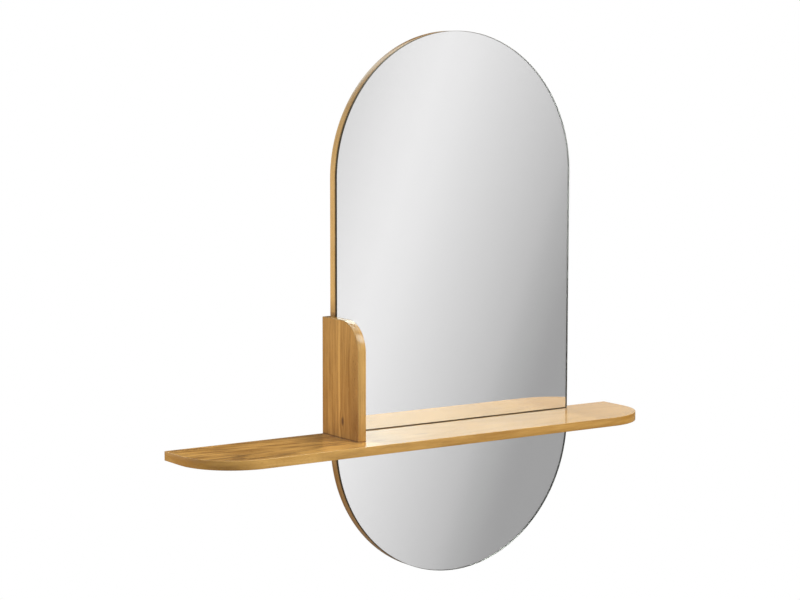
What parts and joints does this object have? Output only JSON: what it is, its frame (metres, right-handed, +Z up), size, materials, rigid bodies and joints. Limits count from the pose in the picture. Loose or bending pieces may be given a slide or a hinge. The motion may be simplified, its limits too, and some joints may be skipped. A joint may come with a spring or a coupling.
{
  "type": "wall mirror with shelf",
  "caption": "Round-ended wall mirror on an oak back panel, crossed by a long oak shelf with rounded front corners and an upright oak divider at its left side.",
  "frame": {"origin": "on the back face of the back panel, which lies on the wall, behind the middle of the mirror", "axes": "+X to the viewer's right along the wall, +Y into the wall, +Z up; the mirror faces -Y"},
  "size_m": [0.924, 0.1525, 0.95],
  "materials": {
    "veneered_panel": "oak veneer on board, matt lacquer",
    "oak_veneer": "oak veneer on board, satin lacquer",
    "oak_edge_band": "oak edge band, satin lacquer",
    "mirror_glass": "clear float glass with ground edges",
    "silver_coat": "silvered, with a backing film",
    "foam_tape": "closed-cell foam, matt",
    "beech": "plain beech",
    "zinc_plated_steel": "bright zinc plating"
  },
  "bodies": {
    "root": {"back_panel": "veneered_panel", "panel_edge_band": "oak_edge_band", "upper_glass": "mirror_glass", "lower_glass": "mirror_glass", "upper_silvering": "silver_coat", "lower_silvering": "silver_coat", "upper_foam_tape": "foam_tape", "lower_foam_tape": "foam_tape", "shelf_board": "oak_veneer", "shelf_edge_band": "oak_edge_band", "divider_board": "oak_veneer", "divider_edge_band": "oak_edge_band", "shelf_dowels": "beech", "shelf_screws": "zinc_plated_steel", "divider_dowels": "beech", "divider_screws": "zinc_plated_steel", "left_hanger_plate": "zinc_plated_steel", "right_hanger_plate": "zinc_plated_steel", "hanger_screws": "zinc_plated_steel"}
  },
  "joints": []
}
